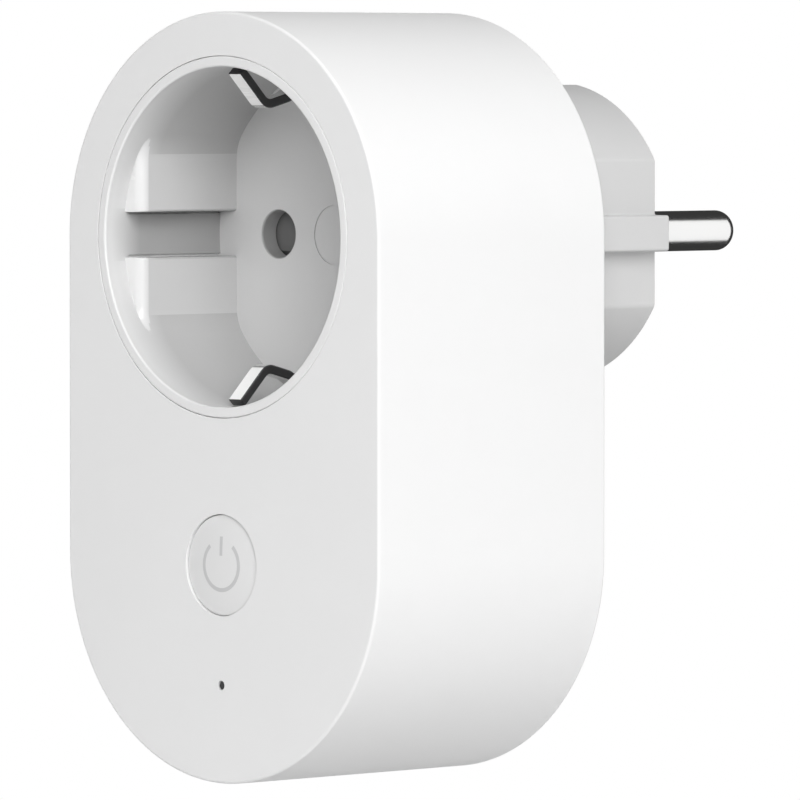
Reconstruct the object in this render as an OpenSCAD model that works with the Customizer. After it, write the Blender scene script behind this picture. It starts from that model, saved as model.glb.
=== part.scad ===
// Wall-plug adapter with a switched Schuko outlet, a power button and a status light.
// Millimetres, +Z up. The front face looks towards -Y and the plug pins point along +Y.
// The origin is midway between the two plug pins, on the end face of the plug boss.

/* [Body] */
// Width of the housing
body_w = 51.6; // [51:0.1:54]
// Height of the housing
body_h = 88.5; // [88:0.1:92]
// Depth of the housing, front face to back face
body_d = 36.7; // [36.7:0.1:38]
// Radius of the housing's outer front and back edges
edge_r = 0.5; // [0.3:0.1:0.8]
// Thickness of the housing's side wall
side_wall = 2; // [1.8:0.1:2]

/* [Socket] */
// Radius of the round recess
recess_r = 19.5; // [19.4:0.1:19.6]
// Depth of the recess
recess_depth = 18.3; // [17.5:0.1:18.4]
// Depth at which the side guides start
guide_depth = 3.4; // [3:0.1:5]
// Distance of each side guide's flat from the axis
guide_x = 16.6; // [16.4:0.1:16.9]
// Half height of the side guides
guide_half_h = 10.2; // [9.8:0.1:10.6]
// Half height of the groove along each side guide
groove_half_h = 2.65; // [2.4:0.05:2.8]
// Radius of the two pin holes
pin_hole_r = 2.75; // [2.6:0.05:2.9]
// Radius of the ring marked in the middle of the recess floor
mark_r = 3.5; // [2.6:0.1:3.7]

/* [Plug] */
// Distance between the two pins, for both the socket and the plug
pin_spacing = 19; // [19:0.5:19]
// Radius of a plug pin
pin_r = 2.4; // [2:0.05:2.4]
// Length of a plug pin beyond the boss
pin_length = 19; // [18.5:0.5:19.5]
// Half height of the plug boss
boss_half_h = 17.7; // [17.6:0.1:18]
// Length of the plug boss
boss_length = 18.5; // [18:0.1:19]
// Distance of the boss's side flats from the axis
boss_flat_x = 16.1; // [16:0.1:16.3]
// Distance of the rib on each flat from the axis
boss_rib_x = 18.4; // [18.2:0.1:18.5]

/* [Controls] */
// Height of the power button below the socket axis
button_drop = 37.6; // [37:0.1:38]
// Radius of the power button
button_r = 5.8; // [5.6:0.1:5.9]
// Travel of the power button
button_travel = 0.5; // [0.3:0.1:0.5]
// Height of the status light below the socket axis
light_drop = 51.4; // [51:0.1:52]
// Radius of the status light
light_r = 0.5; // [0.4:0.05:0.55]
// Travel of the child-protection shutter
shutter_travel = 6.2; // [6.2:0.1:6.4]

/* [Hidden] */
$fn = 96;

// How far a cutter reaches past the face that it opens
over = 1;
// How far joined solids of one piece run into each other
sink = 0.1;
// Clearance at which two separate pieces lie against each other
touch_gap = 0.05;

// Planes across the depth
back_y = -boss_length;
front_y = back_y - body_d;
front_wall = 2.2;
wall_back_y = front_y + front_wall;
plate_t = 2.3;
plate_front_y = back_y - plate_t;
floor_y = front_y + recess_depth;
floor_t = 2.2;
floor_back_y = floor_y + floor_t;
carrier_back_y = -23.2;
board_t = 1.6;
board_front_y = -46.5;
board_back_y = board_front_y + board_t;

// Body outline
arc_drop = body_h - body_w;
body_r = body_w / 2;
inner_r = body_r - side_wall;
plate_gap = 0.1;

// Socket cup
cup_r = recess_r + 1.2;
cup_gap = 0.15;
flange_r = 22.6;
flange_t = 1.4;
pin_x = pin_spacing / 2;
mark_w = 0.25;
mark_depth = 0.15;
clip_slot_half_w = 1.5;
clip_slot_half_h = 2.4;
clip_slot_start = 1.2;

// Contact carrier and shutter
carrier_r = 18.9;
chamber_half_w = 13.6;
chamber_bottom = -3.7;
chamber_depth = 2.9;
shutter_half_w = 13.2;
shutter_half_h = 3.4;
spring_pressed_h = 4.1;
chamber_top = shutter_half_h + shutter_travel + spring_pressed_h;
shutter_front_y = floor_back_y + 0.2;
shutter_t = 2.5;
shutter_ramp = 2;
spring_r = 1.1;
spring_wire = 0.35;
well_r = 3.5;
contact_r = 3.2;
contact_bore_r = 2.45;
contact_front_y = -31.2;
contact_slit_half = 0.4;
contact_slit_end = 1.5;
tail_y = -23.1;
tail_t = 0.6;
tail_half_w = 1.5;
tail_end_z = -20;

// Earth clips: a bent strip that turns about its rear root
clip_w = 2.15;
clip_t = 1.05;
clip_root_y = -33.6;
clip_root_z = 19.7;
clip_root_r = clip_t / 2 + 0.1;
clip_gap = 0.15;
// Centre line: depth from the front face against distance from the axis
CLIP_LINE = [[2.6, 19], [6.5, 15.1], [10, 16], [16.5, 19.7], [clip_root_y - front_y, clip_root_z]];
bridge_y = -22.3;
bridge_t = 0.8;
bridge_half_w = 2;
leg_half_w = 1.2;
leg_half_t = 0.4;

// Plug boss
boss_bore_r = 14;
boss_end_wall = 3;
spigot_r = 15.5;
boss_edge_r = 0.6;
boss_flat_half_h = 8.6;
boss_rib_half_h = 2.1;
// The arcs above and below meet the flats at boss_flat_half_h; each is centred across the axis
boss_arc_shift = (pow(boss_flat_x, 2) + pow(boss_flat_half_h, 2) - pow(boss_half_h, 2))
    / (2 * (boss_half_h - boss_flat_half_h));
boss_arc_r = boss_half_h + boss_arc_shift;
channel_half_w = 3;
channel_z = 16.1;
strip_half_w = 2;
strip_t = 0.8;
sleeve_z = 10;
sleeve_r = 3.1;
sleeve_setback = 0.1;
pin_neck_r = 2.2;
pin_neck_gap = 0.03;
pin_flange_r = 3.4;
pin_flange_t = 1.5;
pin_tail_r = 1.2;
pin_tail_end_y = -9;
pin_tip_r = 1.8;

// Button, switch and light
button_hole_gap = 0.15;
button_flange_r = 6.9;
button_flange_t = 0.85;
button_stem_r = 2;
dome_r = 56;
dome_steps = 6;
symbol_r = 2.85;
symbol_w = 0.5;
symbol_floor_y = front_y + 1;
symbol_t = 0.85;
symbol_gap_half = 1.15;
symbol_line_bottom = 1.1;
symbol_line_top = 3.3;
switch_half = 3;
switch_front_y = -50;
plunger_r = 1.75;
plunger_depth = 1.1;
plunger_gap = 0.07;
plunger_front_y = switch_front_y - button_travel - 0.4;
pipe_flange_r = 1.5;
pipe_flange_t = 0.75;
pipe_setback = 0.1;
led_half_w = 0.8;
led_half_h = 0.5;
led_t = 0.8;

// Screws and their posts
screw_r = 1;
screw_head_r = 1.6;
screw_head_t = 1.3;
screw_gap = 0.05;
post_r = 2.3;
upper_post_reach = 21.6;
upper_post_xz = upper_post_reach / sqrt(2);
lower_post_x = 19.3;
lower_post_z = -44;
REAR_SCREWS = [
    [-upper_post_xz, upper_post_xz], [upper_post_xz, upper_post_xz],
    [-lower_post_x, lower_post_z], [lower_post_x, lower_post_z]
];
rear_screw_head_y = back_y - 0.2;
rear_screw_length = 8;
post_back_y = plate_front_y - plate_gap;
upper_post_front_y = floor_back_y + 0.3;
rear_hole_end_y = post_back_y - rear_screw_length - 1;
CARRIER_SCREWS = [[-11, -11], [11, -11]];
carrier_screw_length = 11.4;
carrier_screw_bite = 1.5;
carrier_screw_head_y = carrier_back_y - 0.1;
PCB_SCREWS = [[-19.6, -30], [19.6, -30]];
pcb_post_r = 1.9;
pcb_screw_length = 4;

// Main board: the lower end of the body's outline, cut off at the top and around the posts
board_gap = 1;
board_top_z = -24;
board_post_gap = 0.4;

// Relay: one corner and its size
relay_x = -16.4;
relay_z = -44;
relay_w = 15.5;
relay_h = 19;
relay_back_y = -29.6;

// Transformer: a core with two windows and a coil on its middle leg
transformer_x = 8.5;
transformer_z = -33;
transformer_front_y = -44.4;
core_half_w = 6.5;
core_half_h = 3;
core_depth = 12;
window_x0 = 2.1;
window_x1 = 5;
window_y0 = 2.4;
window_y1 = 9.6;
coil_r = 6.5;
coil_half_w = 4.9;
coil_depth = 7;
coil_gap = 0.1;

// Round parts on the board: centre, radius and height
CAPACITORS_X = [-5.2, 3.4];
capacitor_z = -49.4;
capacitor_r = 4;
capacitor_h = 11.5;
choke_x = 8.3;
choke_z = -54.3;
choke_r = 2.6;
choke_winding_r = 2.2;
choke_flange_t = 0.8;
choke_h = 8;
varistor_lift = 4.2;
varistor_r = 3.6;
varistor_t = 3.2;
varistor_z = -57.6;

// Box-shaped parts on the board: a corner in x and z, then width, height and rise off the board
x_capacitor_at = [2, -44.9];
x_capacitor_size = [13, 4.7, 11];
rectifier_at = [10.6, -51.6];
rectifier_size = [4.6, 4, 2.5];
fuse_at = [-14, -52.5];
fuse_size = [3.8, 6, 7];

// Wi-Fi board: it stands on its edge, with a shield can on its outer face
wifi_x = 16.6;
wifi_t = 0.8;
wifi_bottom_z = -41;
wifi_top_z = -26;
wifi_h = 18.7;
shield_margin = 1.5;
shield_t = 2.2;
shield_y0 = 4;
shield_y1 = 16;

// Flat mains links
link_x = 9;
link_half_w = 1.4;
link_t = 0.6;
link_top_z = 2;
link_drop_z = -8.4;
link_turn_y = -21.5;
live_in_z = -30;
live_out_z = -26.6;
neutral_z = -25.6;

// Extrudes a 2D shape drawn in x and z from y0 to y1
module slab(y0, y1) {
    translate([0, y1, 0])
        rotate([90, 0, 0])
            linear_extrude(y1 - y0)
                children();
}

// Round bar along Y
module bar(x, z, r, y0, y1) {
    translate([x, y1, z])
        rotate([90, 0, 0])
            cylinder(r = r, h = y1 - y0);
}

// Box from one corner to the opposite one
module box(a, b) {
    translate(a)
        cube(b - a);
}

// Bar along Y whose edge at y1 is rounded, centred on the axis
module rounded_bar(r, y0, y1, edge) {
    rotate([-90, 0, 0])
        rotate_extrude()
            polygon(concat(
                [[0, y0], [r, y0]],
                [for (a = [0:15:90]) [r - edge + edge * cos(a), y1 - edge + edge * sin(a)]],
                [[0, y1]]
            ));
}

// Upright stadium whose arcs are concentric with the socket above and the lower arc below
module stadium(r) {
    circle(r = r);
    translate([0, -arc_drop])
        circle(r = r);
    translate([-r, -arc_drop])
        square([2 * r, arc_drop]);
}

// Half profile of the rounded body: radius against depth
function body_profile(r, y0, y1, edge) = concat(
    [[0, y0]],
    [for (a = [-90:15:0]) [r - edge + edge * cos(a), y0 + edge + edge * sin(a)]],
    [for (a = [0:15:90]) [r - edge + edge * cos(a), y1 - edge + edge * sin(a)]],
    [[0, y1]]
);

// Solid stadium with rounded front and back edges
module rounded_stadium(r, y0, y1, edge) {
    for (end = [0, 1])
        translate([0, 0, -end * arc_drop])
            rotate([-90, 0, 0])
                rotate([0, 0, end == 0 ? 180 : 0])
                    rotate_extrude(angle = 180)
                        polygon(body_profile(r, y0, y1, edge));
    for (side = [0, 1])
        mirror([side, 0, 0])
            translate([0, 0, -arc_drop])
                linear_extrude(arc_drop)
                    polygon(body_profile(r, y0, y1, edge));
}

// Pan screw along Y: the head's back face is at y, the shank points towards -Y
module screw(x, z, y, length) {
    bar(x, z, screw_head_r, y - screw_head_t, y);
    bar(x, z, screw_r, y - screw_head_t - length, y - screw_head_t + sink);
}

module outer_housing() {
    color("whitesmoke")
        difference() {
            union() {
                difference() {
                    rounded_stadium(body_r, front_y, back_y, edge_r);
                    slab(wall_back_y, back_y + over)
                        stadium(inner_r);
                }
                for (side = [-1, 1]) {
                    bar(side * upper_post_xz, upper_post_xz, post_r, upper_post_front_y, post_back_y);
                    bar(side * lower_post_x, lower_post_z, post_r, wall_back_y - sink, post_back_y);
                }
                for (p = PCB_SCREWS)
                    bar(p[0], p[1], pcb_post_r, wall_back_y - sink, board_front_y);
            }
            bar(0, 0, cup_r + cup_gap, front_y - over, wall_back_y + over);
            bar(0, -button_drop, button_r + button_hole_gap, front_y - over, wall_back_y + over);
            bar(0, -light_drop, light_r + touch_gap, front_y - over, wall_back_y + over);
            for (p = REAR_SCREWS)
                bar(p[0], p[1], screw_r + screw_gap, rear_hole_end_y, post_back_y + over);
            for (p = PCB_SCREWS)
                bar(p[0], p[1], screw_r + screw_gap, board_front_y - pcb_screw_length, board_front_y + over);
        }
}

// Outline of the recess behind its round mouth, with a guide on each side
module recess_outline() {
    difference() {
        circle(r = recess_r);
        for (side = [0, 1])
            mirror([side, 0])
                for (end = [0, 1])
                    mirror([0, end])
                        translate([guide_x, groove_half_h])
                            square([recess_r - guide_x + over, guide_half_h - groove_half_h]);
    }
}

module socket_insert() {
    color("whitesmoke")
        difference() {
            union() {
                bar(0, 0, cup_r, front_y, floor_back_y);
                bar(0, 0, flange_r, wall_back_y + touch_gap, wall_back_y + flange_t);
            }
            bar(0, 0, recess_r, front_y - over, front_y + guide_depth);
            slab(front_y + guide_depth - sink, floor_y)
                recess_outline();
            for (side = [-1, 1]) {
                bar(side * pin_x, 0, pin_hole_r, floor_y - over, floor_back_y + over);
                box([-clip_slot_half_w, front_y + clip_slot_start, side * cup_r - clip_slot_half_h],
                    [clip_slot_half_w, floor_back_y + over, side * cup_r + clip_slot_half_h]);
            }
            slab(floor_y - over, floor_y + mark_depth)
                difference() {
                    circle(r = mark_r);
                    circle(r = mark_r - mark_w);
                }
            for (p = CARRIER_SCREWS)
                bar(p[0], p[1], screw_r + screw_gap, floor_back_y - carrier_screw_bite,
                    floor_back_y + over);
        }
}

module contact_carrier() {
    color("dimgray")
        difference() {
            bar(0, 0, carrier_r, floor_back_y, carrier_back_y);
            box([-chamber_half_w, floor_back_y - over, chamber_bottom],
                [chamber_half_w, floor_back_y + chamber_depth, chamber_top]);
            for (side = [-1, 1])
                bar(side * pin_x, 0, well_r, floor_back_y, carrier_back_y + over);
            for (p = CARRIER_SCREWS) {
                bar(p[0], p[1], screw_r + screw_gap, floor_back_y - over, carrier_back_y + over);
                bar(p[0], p[1], screw_head_r + screw_gap, carrier_screw_head_y - screw_head_t,
                    carrier_back_y + over);
            }
        }
}

module shutter() {
    color("darkgray")
        difference() {
            box([-shutter_half_w, shutter_front_y, -shutter_half_h],
                [shutter_half_w, shutter_front_y + shutter_t, shutter_half_h]);
            // Ramps that a plug's pins push on
            for (side = [-1, 1])
                translate([side * pin_x, shutter_front_y, -shutter_half_h])
                    rotate([45, 0, 0])
                        cube([2 * pin_hole_r, shutter_ramp, shutter_ramp], center = true);
        }
}

module shutter_spring() {
    color("silver")
        translate([0, floor_back_y + chamber_depth / 2, shutter_half_h])
            difference() {
                cylinder(r = spring_r, h = chamber_top - shutter_half_h);
                translate([0, 0, -over])
                    cylinder(r = spring_r - spring_wire, h = chamber_top - shutter_half_h + 2 * over);
            }
}

// Outline of a strip of thickness t along a line of points
function unit(v) = v / norm(v);
function left_of(v) = [-v[1], v[0]];
function corner_offset(line, i) =
    let (
        before = i == 0 ? unit(line[1] - line[0]) : unit(line[i] - line[i - 1]),
        after = i == len(line) - 1 ? before : unit(line[i + 1] - line[i]),
        n = unit(left_of(before) + left_of(after))
    )
    n / (n * left_of(before));
function strip_outline(line, t) = concat(
    [for (i = [0:len(line) - 1]) line[i] + corner_offset(line, i) * t / 2],
    [for (i = [len(line) - 1:-1:0]) line[i] - corner_offset(line, i) * t / 2]
);

module earth_clip() {
    rotate([90, 0, 90])
        translate([0, 0, -clip_w / 2])
            linear_extrude(clip_w)
                translate([front_y, 0])
                    polygon(strip_outline(CLIP_LINE, clip_t));
    translate([-clip_w / 2, clip_root_y, clip_root_z])
        rotate([0, 90, 0])
            cylinder(r = clip_root_r, h = clip_w);
}

module earth_clip_top() {
    color("silver")
        earth_clip();
}

module earth_clip_bottom() {
    color("silver")
        mirror([0, 0, 1])
            earth_clip();
}

module earth_bridge() {
    leg_y = clip_root_y + clip_root_r + clip_gap;
    color("goldenrod") {
        box([-bridge_half_w, bridge_y, -clip_root_z - leg_half_t],
            [bridge_half_w, bridge_y + bridge_t, clip_root_z + leg_half_t]);
        for (side = [0, 1])
            mirror([0, 0, side])
                box([-leg_half_w, leg_y, clip_root_z - leg_half_t],
                    [leg_half_w, bridge_y + sink, clip_root_z + leg_half_t]);
    }
}

// Sprung tube that grips one pin of an inserted plug, with its tail
module contact(side) {
    color("goldenrod")
        translate([side * pin_x, 0, 0]) {
            difference() {
                bar(0, 0, contact_r, contact_front_y, tail_y + tail_t);
                bar(0, 0, contact_bore_r, contact_front_y - over, tail_y + tail_t + over);
                box([-contact_slit_half, contact_front_y - over, 0],
                    [contact_slit_half, tail_y - contact_slit_end, contact_r + over]);
            }
            box([-tail_half_w, tail_y, tail_end_z],
                [tail_half_w, tail_y + tail_t, -contact_bore_r - 0.25]);
        }
}

module contact_left() {
    contact(-1);
}

module contact_right() {
    contact(1);
}

// Outline of the plug boss: an arc and a channel above and below, and a flat on each side
module boss_outline() {
    difference() {
        square([2 * boss_flat_x, 2 * boss_arc_r], center = true);
        for (end = [0, 1])
            mirror([0, end])
                translate([-channel_half_w, channel_z])
                    square([2 * channel_half_w, boss_arc_r]);
    }
}

module rear_cover() {
    color("whitesmoke")
        difference() {
            slab(plate_front_y, back_y)
                stadium(inner_r - plate_gap);
            bar(0, 0, spigot_r + touch_gap, plate_front_y - over, back_y + over);
            // Slots that the earth strips pass through
            for (side = [0, 1])
                mirror([0, 0, side])
                    box([-strip_half_w - touch_gap, plate_front_y - over, channel_z],
                        [strip_half_w + touch_gap, back_y + over, channel_z + strip_t + 2 * touch_gap]);
            for (p = REAR_SCREWS) {
                bar(p[0], p[1], screw_r + screw_gap, plate_front_y - over, back_y + over);
                bar(p[0], p[1], screw_head_r + screw_gap, rear_screw_head_y - screw_head_t,
                    back_y + over);
            }
        }
}

// Hollow boss that carries the pins, with a spigot bonded into the rear cover
module plug_boss() {
    color("gainsboro")
        difference() {
            union() {
                intersection() {
                    slab(back_y, 0)
                        boss_outline();
                    translate([0, 0, -boss_arc_shift])
                        rounded_bar(boss_arc_r, back_y, 0, boss_edge_r);
                    translate([0, 0, boss_arc_shift])
                        rounded_bar(boss_arc_r, back_y, 0, boss_edge_r);
                }
                slab(back_y, 0)
                    square([2 * boss_rib_x, 2 * boss_rib_half_h], center = true);
                bar(0, 0, spigot_r, plate_front_y, back_y + sink);
            }
            bar(0, 0, boss_bore_r, plate_front_y - over, -boss_end_wall);
            for (side = [-1, 1])
                bar(side * pin_x, 0, pin_neck_r + pin_neck_gap, -boss_end_wall - over, over);
            bar(0, sleeve_z, sleeve_r + pin_neck_gap, -boss_end_wall - over, over);
        }
}

// Pin with a rounded tip, a neck in the boss's end wall, a collar behind it and a tail for its link
module plug_pin(side) {
    color("silver")
        translate([side * pin_x, 0, 0]) {
            rounded_bar(pin_r, 0, pin_length, pin_tip_r);
            bar(0, 0, pin_neck_r, -boss_end_wall - sink, sink);
            bar(0, 0, pin_flange_r, -boss_end_wall - pin_flange_t, -boss_end_wall);
            bar(0, 0, pin_tail_r, pin_tail_end_y, -boss_end_wall - pin_flange_t + sink);
        }
}

module plug_pin_left() {
    plug_pin(-1);
}

module plug_pin_right() {
    plug_pin(1);
}

// Side earth strip that lies in a channel of the boss
module earth_strip(side) {
    mid_z = side * (channel_z + strip_t / 2 + touch_gap);
    color("silver")
        box([-strip_half_w, bridge_y + bridge_t, mid_z - strip_t / 2],
            [strip_half_w, -boss_edge_r, mid_z + strip_t / 2]);
}

module earth_strip_top() {
    earth_strip(1);
}

module earth_strip_bottom() {
    earth_strip(-1);
}

module earth_sleeve() {
    color("silver")
        difference() {
            bar(0, sleeve_z, sleeve_r, bridge_y + bridge_t, -sleeve_setback);
            bar(0, sleeve_z, contact_bore_r, back_y, over);
        }
}

// Power symbol: an open ring with a short line through its gap
module symbol_outline() {
    difference() {
        circle(r = symbol_r + symbol_w / 2);
        circle(r = symbol_r - symbol_w / 2);
        translate([-symbol_gap_half, 0])
            square([2 * symbol_gap_half, symbol_r * 2]);
    }
    translate([-symbol_w / 2, symbol_line_bottom])
        square([symbol_w, symbol_line_top - symbol_line_bottom]);
}

// Point of the button's crowned face at a distance from its centre
function dome_point(r) = [r, front_y + dome_r - sqrt(dome_r * dome_r - r * r)];

module power_button() {
    flange_front_y = wall_back_y + touch_gap;
    cap_back_y = flange_front_y + sink;
    color("gainsboro")
        difference() {
            union() {
                translate([0, 0, -button_drop])
                    rotate([-90, 0, 0])
                        rotate_extrude()
                            polygon(concat(
                                [for (i = [0:dome_steps]) dome_point(i * button_r / dome_steps)],
                                [[button_r, cap_back_y], [0, cap_back_y]]
                            ));
                bar(0, -button_drop, button_flange_r, flange_front_y, flange_front_y + button_flange_t);
                bar(0, -button_drop, button_stem_r, cap_back_y, plunger_front_y - touch_gap);
            }
            translate([0, 0, -button_drop])
                slab(front_y - over, symbol_floor_y)
                    symbol_outline();
        }
}

module power_symbol() {
    color("darkgray")
        translate([0, 0, -button_drop])
            slab(symbol_floor_y - symbol_t, symbol_floor_y)
                symbol_outline();
}

module switch_body() {
    color("dimgray")
        difference() {
            box([-switch_half, switch_front_y, -button_drop - switch_half],
                [switch_half, board_front_y, -button_drop + switch_half]);
            bar(0, -button_drop, plunger_r + plunger_gap, switch_front_y - over,
                switch_front_y + plunger_depth + button_travel + 0.2);
        }
}

module switch_plunger() {
    color("black")
        bar(0, -button_drop, plunger_r, plunger_front_y, switch_front_y + plunger_depth);
}

module led() {
    color("lightyellow")
        box([-led_half_w, board_front_y - led_t, -light_drop - led_half_h],
            [led_half_w, board_front_y, -light_drop + led_half_h]);
}

module light_pipe() {
    color("dimgray") {
        bar(0, -light_drop, light_r, front_y + pipe_setback, board_front_y - led_t - 0.2);
        bar(0, -light_drop, pipe_flange_r, wall_back_y + touch_gap, wall_back_y + touch_gap + pipe_flange_t);
    }
}

module main_pcb() {
    color("darkgreen")
        slab(board_front_y, board_back_y)
            difference() {
                intersection() {
                    translate([0, -arc_drop])
                        circle(r = inner_r - board_gap);
                    translate([-inner_r, -arc_drop - inner_r])
                        square([2 * inner_r, inner_r + arc_drop + board_top_z]);
                }
                for (side = [-1, 1])
                    translate([side * lower_post_x, lower_post_z])
                        circle(r = post_r + board_post_gap);
                for (p = PCB_SCREWS)
                    translate(p)
                        circle(r = screw_r + screw_gap);
            }
}

// Box that stands on the board's back
module board_box(at, size) {
    box([at[0], board_back_y, at[1]],
        [at[0] + size[0], board_back_y + size[2], at[1] + size[1]]);
}

module relay() {
    color("royalblue")
        box([relay_x, board_back_y, relay_z],
            [relay_x + relay_w, relay_back_y, relay_z + relay_h]);
}

module transformer_core() {
    color("dimgray")
        translate([transformer_x, transformer_front_y, transformer_z])
            difference() {
                box([-core_half_w, 0, -core_half_h], [core_half_w, core_depth, core_half_h]);
                for (side = [0, 1])
                    mirror([side, 0, 0])
                        box([window_x0, window_y0, -core_half_h - over],
                            [window_x1, window_y1, core_half_h + over]);
            }
}

module transformer_coil() {
    color("gold")
        translate([transformer_x, transformer_front_y + window_y0 + coil_gap, transformer_z])
            difference() {
                intersection() {
                    bar(0, 0, coil_r, 0, coil_depth);
                    box([-coil_half_w, -over, -coil_r], [coil_half_w, coil_depth + over, coil_r]);
                }
                box([-window_x0 - coil_gap, -over, -core_half_h - coil_gap],
                    [window_x0 + coil_gap, coil_depth + over, core_half_h + coil_gap]);
            }
}

module bulk_capacitors() {
    color("black")
        for (x = CAPACITORS_X)
            bar(x, capacitor_z, capacitor_r, board_back_y, board_back_y + capacitor_h);
}

module x_capacitor() {
    color("gold")
        board_box(x_capacitor_at, x_capacitor_size);
}

module bridge_rectifier() {
    color("black")
        board_box(rectifier_at, rectifier_size);
}

module fuse() {
    color("saddlebrown")
        board_box(fuse_at, fuse_size);
}

module varistor() {
    color("royalblue")
        translate([0, board_back_y + varistor_lift, varistor_z])
            cylinder(r = varistor_r, h = varistor_t);
}

module choke() {
    color("darkolivegreen") {
        bar(choke_x, choke_z, choke_r, board_back_y, board_back_y + choke_flange_t);
        bar(choke_x, choke_z, choke_winding_r, board_back_y + sink, board_back_y + choke_h - sink);
        bar(choke_x, choke_z, choke_r, board_back_y + choke_h - choke_flange_t, board_back_y + choke_h);
    }
}

module wifi_pcb() {
    color("darkblue")
        box([wifi_x, board_back_y, wifi_bottom_z],
            [wifi_x + wifi_t, board_back_y + wifi_h, wifi_top_z]);
}

module wifi_shield() {
    color("silver")
        box([wifi_x + wifi_t, board_back_y + shield_y0, wifi_bottom_z + shield_margin],
            [wifi_x + wifi_t + shield_t, board_back_y + shield_y1, wifi_top_z - shield_margin]);
}

// Flat link from a pin's tail, out of the boss and down behind the board's parts
module pin_link(side, end_z) {
    mirror([side < 0 ? 1 : 0, 0, 0])
        translate([link_x, 0, 0]) {
            box([-link_half_w, pin_tail_end_y - link_t, link_drop_z],
                [link_half_w, pin_tail_end_y, link_top_z]);
            box([-link_half_w, link_turn_y, link_drop_z],
                [link_half_w, pin_tail_end_y - link_t + sink, link_drop_z + link_t]);
            box([-link_half_w, link_turn_y, end_z],
                [link_half_w, link_turn_y + link_t, link_drop_z + sink]);
        }
}

module live_link_in() {
    color("goldenrod") {
        pin_link(-1, live_in_z);
        box([-link_x - link_half_w, relay_back_y, live_in_z],
            [-link_x + link_half_w, link_turn_y + sink, live_in_z + link_t]);
    }
}

module live_link_out() {
    color("goldenrod") {
        box([-pin_x - tail_half_w, tail_y, live_out_z],
            [-pin_x + tail_half_w, tail_y + tail_t, tail_end_z]);
        box([-pin_x - tail_half_w, relay_back_y, live_out_z],
            [-pin_x + tail_half_w, tail_y + sink, live_out_z + link_t]);
    }
}

module neutral_link() {
    color("goldenrod") {
        pin_link(1, neutral_z);
        box([link_x - link_half_w, board_back_y, neutral_z],
            [link_x + link_half_w, link_turn_y + sink, neutral_z + link_t]);
    }
}

module rear_screws() {
    color("silver")
        for (p = REAR_SCREWS)
            screw(p[0], p[1], rear_screw_head_y, rear_screw_length);
}

module carrier_screws() {
    color("silver")
        for (p = CARRIER_SCREWS)
            screw(p[0], p[1], carrier_screw_head_y, carrier_screw_length);
}

module pcb_screws() {
    color("silver")
        for (p = PCB_SCREWS)
            screw(p[0], p[1], board_back_y + screw_head_t, pcb_screw_length);
}

outer_housing();
socket_insert();
rear_cover();
plug_boss();
contact_carrier();
shutter();
shutter_spring();
earth_clip_top();
earth_clip_bottom();
earth_bridge();
contact_left();
contact_right();
plug_pin_left();
plug_pin_right();
earth_strip_top();
earth_strip_bottom();
earth_sleeve();
power_button();
power_symbol();
switch_body();
switch_plunger();
led();
light_pipe();
main_pcb();
relay();
transformer_core();
transformer_coil();
bulk_capacitors();
x_capacitor();
bridge_rectifier();
fuse();
varistor();
choke();
wifi_pcb();
wifi_shield();
live_link_in();
live_link_out();
neutral_link();
rear_screws();
carrier_screws();
pcb_screws();
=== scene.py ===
import math

import bmesh
import bpy
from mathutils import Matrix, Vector


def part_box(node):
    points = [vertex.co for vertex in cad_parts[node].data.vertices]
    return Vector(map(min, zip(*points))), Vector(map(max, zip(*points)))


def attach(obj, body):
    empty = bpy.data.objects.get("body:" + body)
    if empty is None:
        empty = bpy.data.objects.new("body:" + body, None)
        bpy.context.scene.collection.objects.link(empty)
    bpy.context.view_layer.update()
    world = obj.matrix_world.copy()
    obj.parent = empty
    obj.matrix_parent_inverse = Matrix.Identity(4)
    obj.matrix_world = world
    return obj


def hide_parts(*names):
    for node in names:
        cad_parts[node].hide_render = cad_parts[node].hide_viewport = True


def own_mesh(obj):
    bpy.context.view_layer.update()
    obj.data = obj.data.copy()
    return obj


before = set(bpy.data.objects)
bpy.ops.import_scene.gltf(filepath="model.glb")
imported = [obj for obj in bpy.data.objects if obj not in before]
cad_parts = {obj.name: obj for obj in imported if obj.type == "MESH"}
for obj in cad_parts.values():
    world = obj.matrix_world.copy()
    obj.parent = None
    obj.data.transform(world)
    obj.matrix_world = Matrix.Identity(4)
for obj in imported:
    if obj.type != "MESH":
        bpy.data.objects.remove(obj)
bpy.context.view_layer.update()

# Lengths in this script are millimetres; a mesh is written in metres.
MM = 0.001


def low(node):
    """Lowest corner of a CAD node, in millimetres."""
    return Vector(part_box(node)[0]) / MM


def high(node):
    """Highest corner of a CAD node, in millimetres."""
    return Vector(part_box(node)[1]) / MM


# ---------------------------------------------------------------- places from the frame, and sizes

FRONT_Y = low("outer_housing").y
BACK_Y = high("outer_housing").y
BODY_R = high("outer_housing").x
ARC_DROP = high("outer_housing").z - low("outer_housing").z - 2 * BODY_R
SIDE_WALL = 2.0
FRONT_WALL = 2.2
EDGE_R = 0.35
INNER_R = BODY_R - SIDE_WALL
WALL_BACK_Y = FRONT_Y + FRONT_WALL
SEAM = 0.06
LIP = 0.04
TOUCH_GAP = 0.05

# A cutter runs this far past the face that it opens.
OVERSHOOT = 1.0

# A point on a turned solid's axis is a ring of this radius.
AXIS_R = 0.01

RECESS_R = 19.5
CUP_R = 20.7
RIM_EDGE_R = 0.16
FLANGE_R = high("socket_insert").x
FLANGE_T = 1.4
FLOOR_BACK_Y = high("socket_insert").y
FLOOR_Y = FLOOR_BACK_Y - 2.2
GUIDE_DEPTH = 3.0
GUIDE_X = 16.6
GUIDE_EDGE_R = 1.2
GUIDE_BLEND_R = 5.0
GUIDE_SIDE_R = 0.25
GUIDE_ROOT = 0.5
GROOVE_HALF = 2.65
MOUTH_R = 0.25
PIN_HOLE_R = 2.75
PIN_HOLE_LIP = 0.25
MARK_R = 3.5
MARK_W = 0.22
MARK_DEPTH = 0.12

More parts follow.
